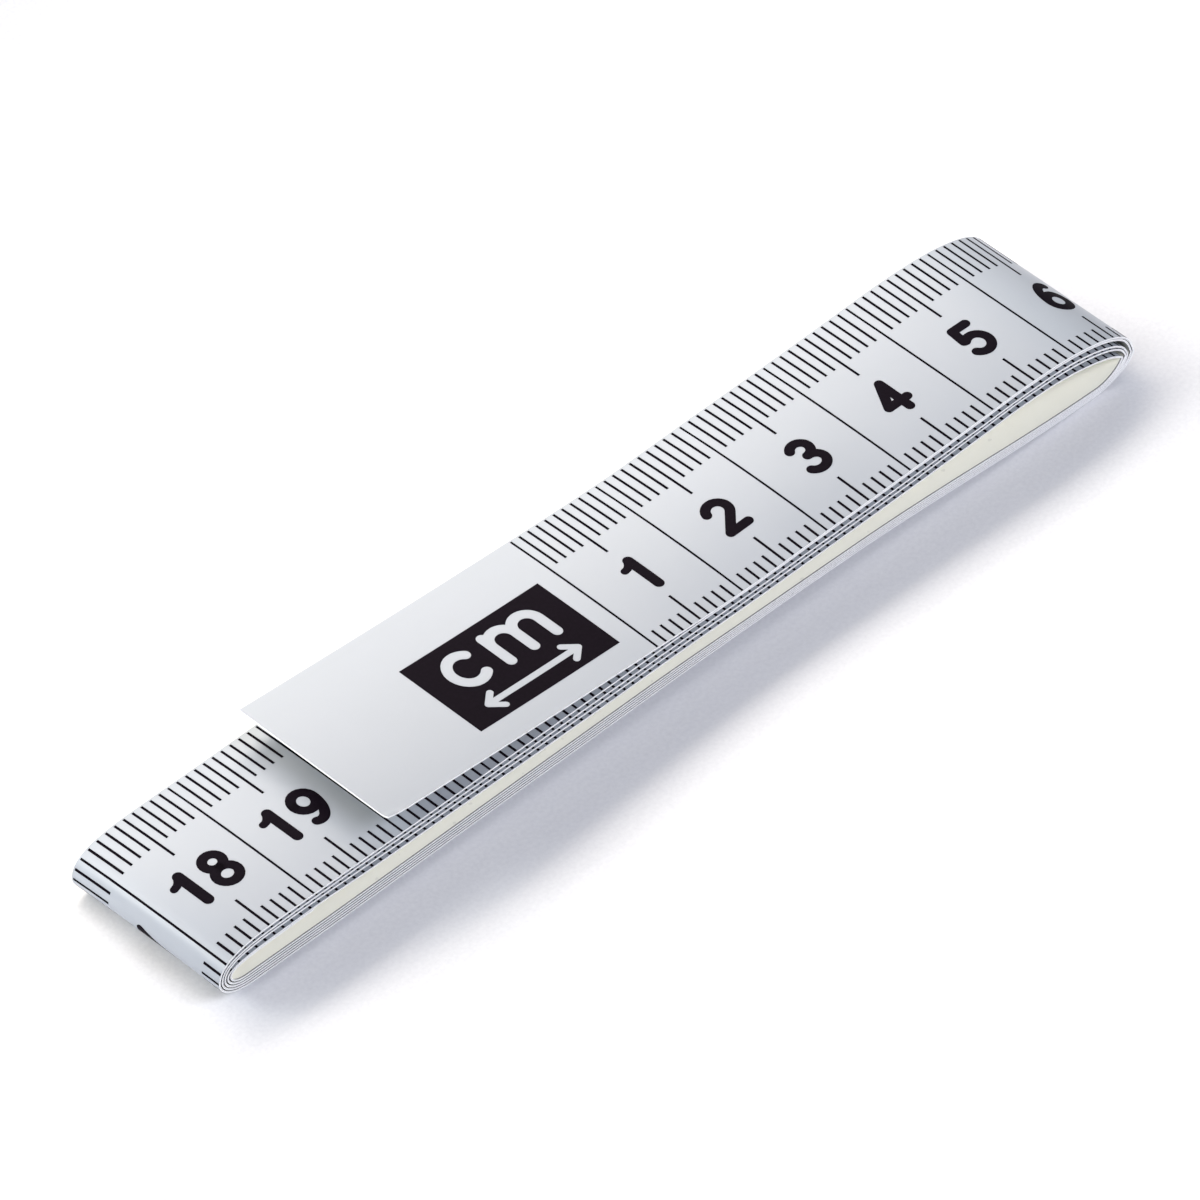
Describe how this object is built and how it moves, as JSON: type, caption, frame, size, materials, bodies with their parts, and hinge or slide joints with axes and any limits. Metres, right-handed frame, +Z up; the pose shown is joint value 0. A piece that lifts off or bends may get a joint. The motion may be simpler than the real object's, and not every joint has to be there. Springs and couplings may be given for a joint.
{
  "type": "adhesive tape measure",
  "caption": "Flat-wound length of self-adhesive measuring tape: printed film with adhesive on a paper release liner, its free lead lifted from the coil ready to unwind, lift and peel.",
  "frame": {"origin": "on the table, under the middle of the wound coil", "axes": "+X along the tape in the direction of rising scale on the top run, +Y across the tape towards the far edge, +Z up"},
  "size_m": [0.1072, 0.0176, 0.0083],
  "materials": {
    "film": "satin white film, printed black",
    "adhesive": "tacky clear acrylic adhesive",
    "liner": "cream silicone-coated paper",
    "turns": "wound layers, white edges and cream liner"
  },
  "bodies": {
    "coil": {"inner_turns": "turns", "outer_turn_film": "film", "outer_turn_adhesive": "adhesive", "outer_turn_liner": "liner"},
    "fold_1": {"fold_1_film": "film", "fold_1_adhesive": "adhesive", "fold_1_liner": "liner"},
    "fold_2": {"fold_2_film": "film", "fold_2_adhesive": "adhesive", "fold_2_liner": "liner"},
    "fold_3": {"fold_3_film": "film", "fold_3_adhesive": "adhesive", "fold_3_liner": "liner"},
    "run": {"run_film": "film", "run_adhesive": "adhesive", "run_liner": "liner"},
    "lead_1": {"lead_1_film": "film", "lead_1_adhesive": "adhesive", "lead_1_liner": "liner"},
    "lead_2": {"lead_2_film": "film", "lead_2_adhesive": "adhesive", "lead_2_liner": "liner"},
    "lead_3": {"lead_3_film": "film", "lead_3_adhesive": "adhesive", "lead_3_liner": "liner"},
    "lead_tab": {"lead_tab_liner": "liner"},
    "peel_1": {"peel_1_film": "film", "peel_1_adhesive": "adhesive"},
    "peel_2": {"peel_2_film": "film", "peel_2_adhesive": "adhesive"}
  },
  "joints": [
    {"name": "fold_open_heel", "type": "hinge", "parent": "coil", "child": "fold_1", "pos_m": [0.04265, 0, 0.00017], "axis": [0, 1, 0], "range_deg": [0, 5.59]},
    {"name": "fold_open", "type": "hinge", "parent": "fold_1", "child": "fold_2", "pos_m": [0.05271, 0, 0.00128], "axis": [0, 1, 0], "range_deg": [0, 88.34]},
    {"name": "fold_open_upper", "type": "hinge", "parent": "fold_2", "child": "fold_3", "pos_m": [0.05172, 0, 0.0047], "axis": [0, 1, 0], "range_deg": [0, 59.28]},
    {"name": "fold_open_run", "type": "hinge", "parent": "fold_3", "child": "run", "pos_m": [0.03665, 0, 0.00656], "axis": [0, 1, 0], "range_deg": [0, 6.8]},
    {"name": "lead_lift", "type": "hinge", "parent": "run", "child": "lead_1", "pos_m": [-0.00155, 0, 0.00614], "axis": [0, 1, 0], "range_deg": [0, 18]},
    {"name": "lead_lift_2", "type": "hinge", "parent": "lead_1", "child": "lead_2", "pos_m": [-0.00955, 0, 0.00657], "axis": [0, 1, 0], "range_deg": [0, 18]},
    {"name": "lead_lift_3", "type": "hinge", "parent": "lead_2", "child": "lead_3", "pos_m": [-0.01755, 0, 0.00705], "axis": [0, 1, 0], "range_deg": [0, 18]},
    {"name": "lead_lift_4", "type": "hinge", "parent": "lead_3", "child": "lead_tab", "pos_m": [-0.02555, 0, 0.00758], "axis": [0, 1, 0], "range_deg": [0, 18]},
    {"name": "film_peel", "type": "hinge", "parent": "lead_tab", "child": "peel_1", "pos_m": [-0.02555, 0, 0.00758], "axis": [0, 1, 0], "range_deg": [0, 35]},
    {"name": "film_peel_2", "type": "hinge", "parent": "peel_1", "child": "peel_2", "pos_m": [-0.03005, 0, 0.00791], "axis": [0, 1, 0], "range_deg": [0, 35]}
  ],
  "couplings": [
    {"joint": "fold_open_heel", "follows": "fold_open", "ratio": 0.063182},
    {"joint": "fold_open_upper", "follows": "fold_open", "ratio": 0.671},
    {"joint": "fold_open_run", "follows": "fold_open", "ratio": 0.076897},
    {"joint": "lead_lift_2", "follows": "lead_lift", "ratio": 1},
    {"joint": "lead_lift_3", "follows": "lead_lift", "ratio": 1},
    {"joint": "lead_lift_4", "follows": "lead_lift", "ratio": 1},
    {"joint": "film_peel_2", "follows": "film_peel", "ratio": 1}
  ]
}
